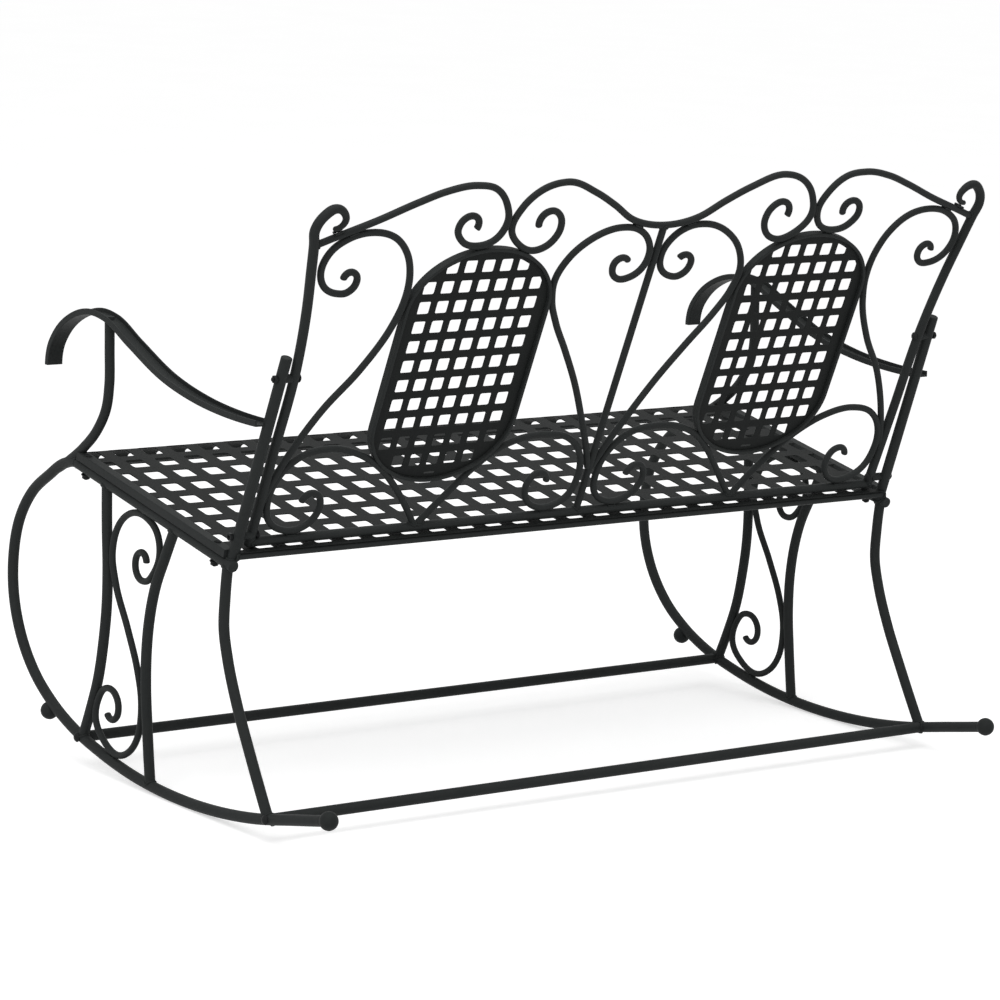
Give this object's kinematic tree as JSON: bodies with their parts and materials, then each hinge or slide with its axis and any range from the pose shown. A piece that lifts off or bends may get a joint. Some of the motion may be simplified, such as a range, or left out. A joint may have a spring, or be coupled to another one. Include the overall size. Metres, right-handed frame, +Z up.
{
  "type": "rocking bench",
  "caption": "Steel garden rocking bench with a sloping woven-strip seat, a scrollwork back with two woven ovals, curved armrests and curved floor rockers.",
  "frame": {"origin": "on the floor, in the middle of the bench's box seen from above", "axes": "+X along the bench to the sitter's left, +Y to the back, +Z up"},
  "size_m": [1.227, 0.8547, 0.9039],
  "materials": {
    "tube_coating": "satin black powder coat with a fine grain",
    "strip_coating": "satin black powder coat on flat strip",
    "ball_coating": "satin black powder coat on the end balls",
    "fastener_finish": "black finished bolts, nuts and washers"
  },
  "bodies": {
    "root": {"back_bolts": "fastener_finish", "back_bottom_rail": "tube_coating", "back_nuts": "fastener_finish", "back_spacers": "fastener_finish", "centre_post": "tube_coating", "centre_top_rail": "tube_coating", "crossbar_bolts": "fastener_finish", "front_crossbar": "tube_coating", "left_arm_post": "tube_coating", "left_armrest": "tube_coating", "left_back_support": "tube_coating", "left_front_mid_leg": "tube_coating", "left_inner_scroll": "tube_coating", "left_lower_inner_scroll": "tube_coating", "left_lower_outer_scroll": "tube_coating", "left_outer_scroll": "tube_coating", "left_oval_ring": "tube_coating", "left_oval_tall_strips": "strip_coating", "left_oval_wide_strips": "strip_coating", "left_rear_ball": "ball_coating", "left_rear_leg": "tube_coating", "left_rear_mid_leg": "tube_coating", "left_rocker": "tube_coating", "left_seat_rail": "tube_coating", "left_side_rail": "tube_coating", "left_side_scroll": "tube_coating", "left_stop_ball": "ball_coating", "left_top_rail": "tube_coating", "left_upright": "tube_coating", "rear_crossbar": "tube_coating", "right_arm_post": "tube_coating", "right_armrest": "tube_coating", "right_back_support": "tube_coating", "right_front_mid_leg": "tube_coating", "right_inner_scroll": "tube_coating", "right_lower_inner_scroll": "tube_coating", "right_lower_outer_scroll": "tube_coating", "right_outer_scroll": "tube_coating", "right_oval_ring": "tube_coating", "right_oval_tall_strips": "strip_coating", "right_oval_wide_strips": "strip_coating", "right_rear_ball": "ball_coating", "right_rear_leg": "tube_coating", "right_rear_mid_leg": "tube_coating", "right_rocker": "tube_coating", "right_seat_rail": "tube_coating", "right_side_rail": "tube_coating", "right_side_scroll": "tube_coating", "right_stop_ball": "ball_coating", "right_top_rail": "tube_coating", "right_upright": "tube_coating", "seat_bolts": "fastener_finish", "seat_cross_strips": "strip_coating", "seat_front_rod": "tube_coating", "seat_long_strips": "strip_coating", "seat_nuts": "fastener_finish", "seat_rear_rod": "tube_coating", "seat_washers": "fastener_finish"}
  },
  "joints": []
}
